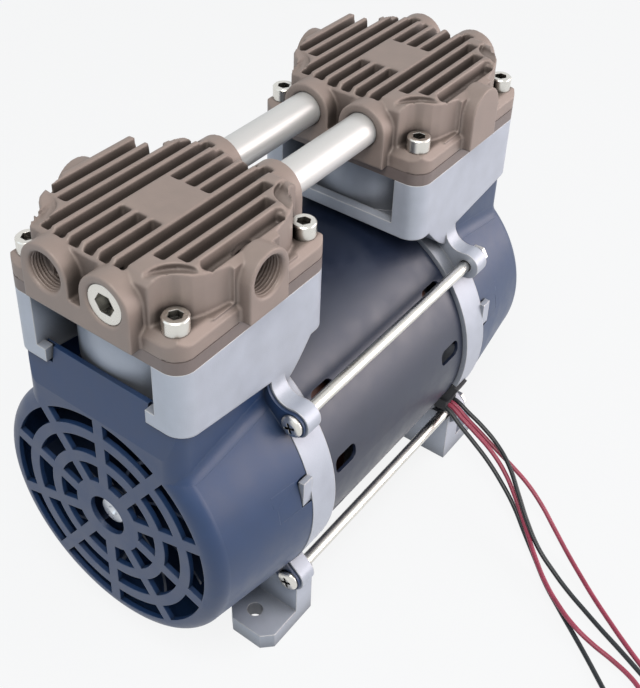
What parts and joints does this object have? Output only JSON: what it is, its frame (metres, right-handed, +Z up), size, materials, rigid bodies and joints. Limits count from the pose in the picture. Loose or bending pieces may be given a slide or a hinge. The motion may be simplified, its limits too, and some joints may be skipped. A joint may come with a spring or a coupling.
{
  "type": "piston vacuum pump",
  "caption": "Electric oil-free piston vacuum pump: ribbed cylinder heads over a round motor, joined by transfer tubes, with fan covers, foot plates and flying leads.",
  "frame": {"origin": "centre of the plane that the feet stand on, midway between the two cylinder axes and under the motor axis", "axes": "+Y along the motor axis towards the unit whose head has no open port, +X to the side with the open side port and the leads, +Z up"},
  "size_m": [0.2655, 0.2446, 0.2034],
  "materials": {
    "cast_body": "cast, light blue-grey, satin",
    "cover_plastic": "moulded, fine matte grain",
    "cylinder_wall": "dark hard anodised",
    "valve_plate": "machined flat, dull",
    "valve_steel": "rolled strip",
    "seal_rubber": "smooth black",
    "head_coating": "taupe brown baked coating, matte",
    "zinc_steel": "zinc plated",
    "tube_metal": "drawn, satin",
    "bearing_steel": "ground, with dark shields",
    "core_steel": "laminated, dull",
    "copper_wire": "enamelled copper, laced",
    "shell_paint": "dark slate, satin",
    "grommet_rubber": "smooth dark grey",
    "lead_black": "smooth black sleeve",
    "lead_red": "smooth red sleeve",
    "shaft_steel": "ground",
    "eccentric_iron": "turned and dark",
    "dark_screw": "black oxide",
    "fan_plastic": "moulded, black",
    "rod_metal": "die cast, machined",
    "cup_polymer": "filled fluoropolymer, pale"
  },
  "bodies": {
    "pump_body": {"near_crankcase": "cast_body", "far_crankcase": "cast_body", "near_fan_cover": "cover_plastic", "far_fan_cover": "cover_plastic", "near_cylinder": "cylinder_wall", "far_cylinder": "cylinder_wall", "near_valve_plate": "valve_plate", "far_valve_plate": "valve_plate", "near_reed_hardware": "valve_steel", "far_reed_hardware": "valve_steel", "near_head_seal": "seal_rubber", "far_head_seal": "seal_rubber", "near_head": "head_coating", "far_head": "head_coating", "near_head_screws": "zinc_steel", "far_head_screws": "zinc_steel", "intake_transfer_tube": "tube_metal", "exhaust_transfer_tube": "tube_metal", "tube_seals": "seal_rubber", "port_plug": "zinc_steel", "near_main_bearing": "bearing_steel", "far_main_bearing": "bearing_steel", "stator_core": "core_steel", "near_winding": "copper_wire", "far_winding": "copper_wire", "motor_shell": "shell_paint", "tie_rods": "zinc_steel", "tie_rod_nuts": "zinc_steel", "lead_grommet": "grommet_rubber", "black_lead_a": "lead_black", "red_lead_a": "lead_red", "red_lead_b": "lead_red", "black_lead_b": "lead_black"},
    "shaft_body": {"motor_shaft": "shaft_steel", "rotor_core": "core_steel", "near_eccentric": "eccentric_iron", "far_eccentric": "eccentric_iron", "eccentric_screws": "dark_screw", "near_fan": "fan_plastic", "far_fan": "fan_plastic"},
    "near_rod_body": {"near_connecting_rod": "rod_metal", "near_rod_bearing": "bearing_steel", "near_piston_cup": "cup_polymer", "near_cup_clamp": "rod_metal", "near_clamp_screw": "dark_screw"},
    "far_rod_body": {"far_connecting_rod": "rod_metal", "far_rod_bearing": "bearing_steel", "far_piston_cup": "cup_polymer", "far_cup_clamp": "rod_metal", "far_clamp_screw": "dark_screw"},
    "near_intake_reed_body": {"near_intake_reed": "valve_steel"},
    "near_exhaust_reed_body": {"near_exhaust_reed": "valve_steel"},
    "far_intake_reed_body": {"far_intake_reed": "valve_steel"},
    "far_exhaust_reed_body": {"far_exhaust_reed": "valve_steel"}
  },
  "joints": [
    {"name": "shaft_spin", "type": "hinge", "parent": "pump_body", "child": "shaft_body", "pos_m": [0, 0, 0.0743], "axis": [0, 1, 0], "continuous": true},
    {"name": "near_crank_pin", "type": "hinge", "parent": "shaft_body", "child": "near_rod_body", "pos_m": [0, -0.075, 0.0788], "axis": [0, 1, 0], "continuous": true},
    {"name": "far_crank_pin", "type": "hinge", "parent": "shaft_body", "child": "far_rod_body", "pos_m": [0, 0.075, 0.0698], "axis": [0, 1, 0], "continuous": true},
    {"name": "near_intake_reed_flex", "type": "hinge", "parent": "pump_body", "child": "near_intake_reed_body", "pos_m": [-0.014, -0.092, 0.17], "axis": [1, 0, 0], "range_deg": [-3, 0], "stiffness_Nm_per_rad": 0.05, "springref_deg": 1.72},
    {"name": "near_exhaust_reed_flex", "type": "hinge", "parent": "pump_body", "child": "near_exhaust_reed_body", "pos_m": [0.014, -0.092, 0.1755], "axis": [1, 0, 0], "range_deg": [0, 3], "stiffness_Nm_per_rad": 0.05, "springref_deg": -1.72},
    {"name": "far_intake_reed_flex", "type": "hinge", "parent": "pump_body", "child": "far_intake_reed_body", "pos_m": [-0.014, 0.058, 0.17], "axis": [1, 0, 0], "range_deg": [-3, 0], "stiffness_Nm_per_rad": 0.05, "springref_deg": 1.72},
    {"name": "far_exhaust_reed_flex", "type": "hinge", "parent": "pump_body", "child": "far_exhaust_reed_body", "pos_m": [0.014, 0.058, 0.1755], "axis": [1, 0, 0], "range_deg": [0, 3], "stiffness_Nm_per_rad": 0.05, "springref_deg": -1.72}
  ],
  "couplings": [
    {"joint": "near_crank_pin", "follows": "shaft_spin", "ratio": -1},
    {"joint": "far_crank_pin", "follows": "shaft_spin", "ratio": -1}
  ]
}
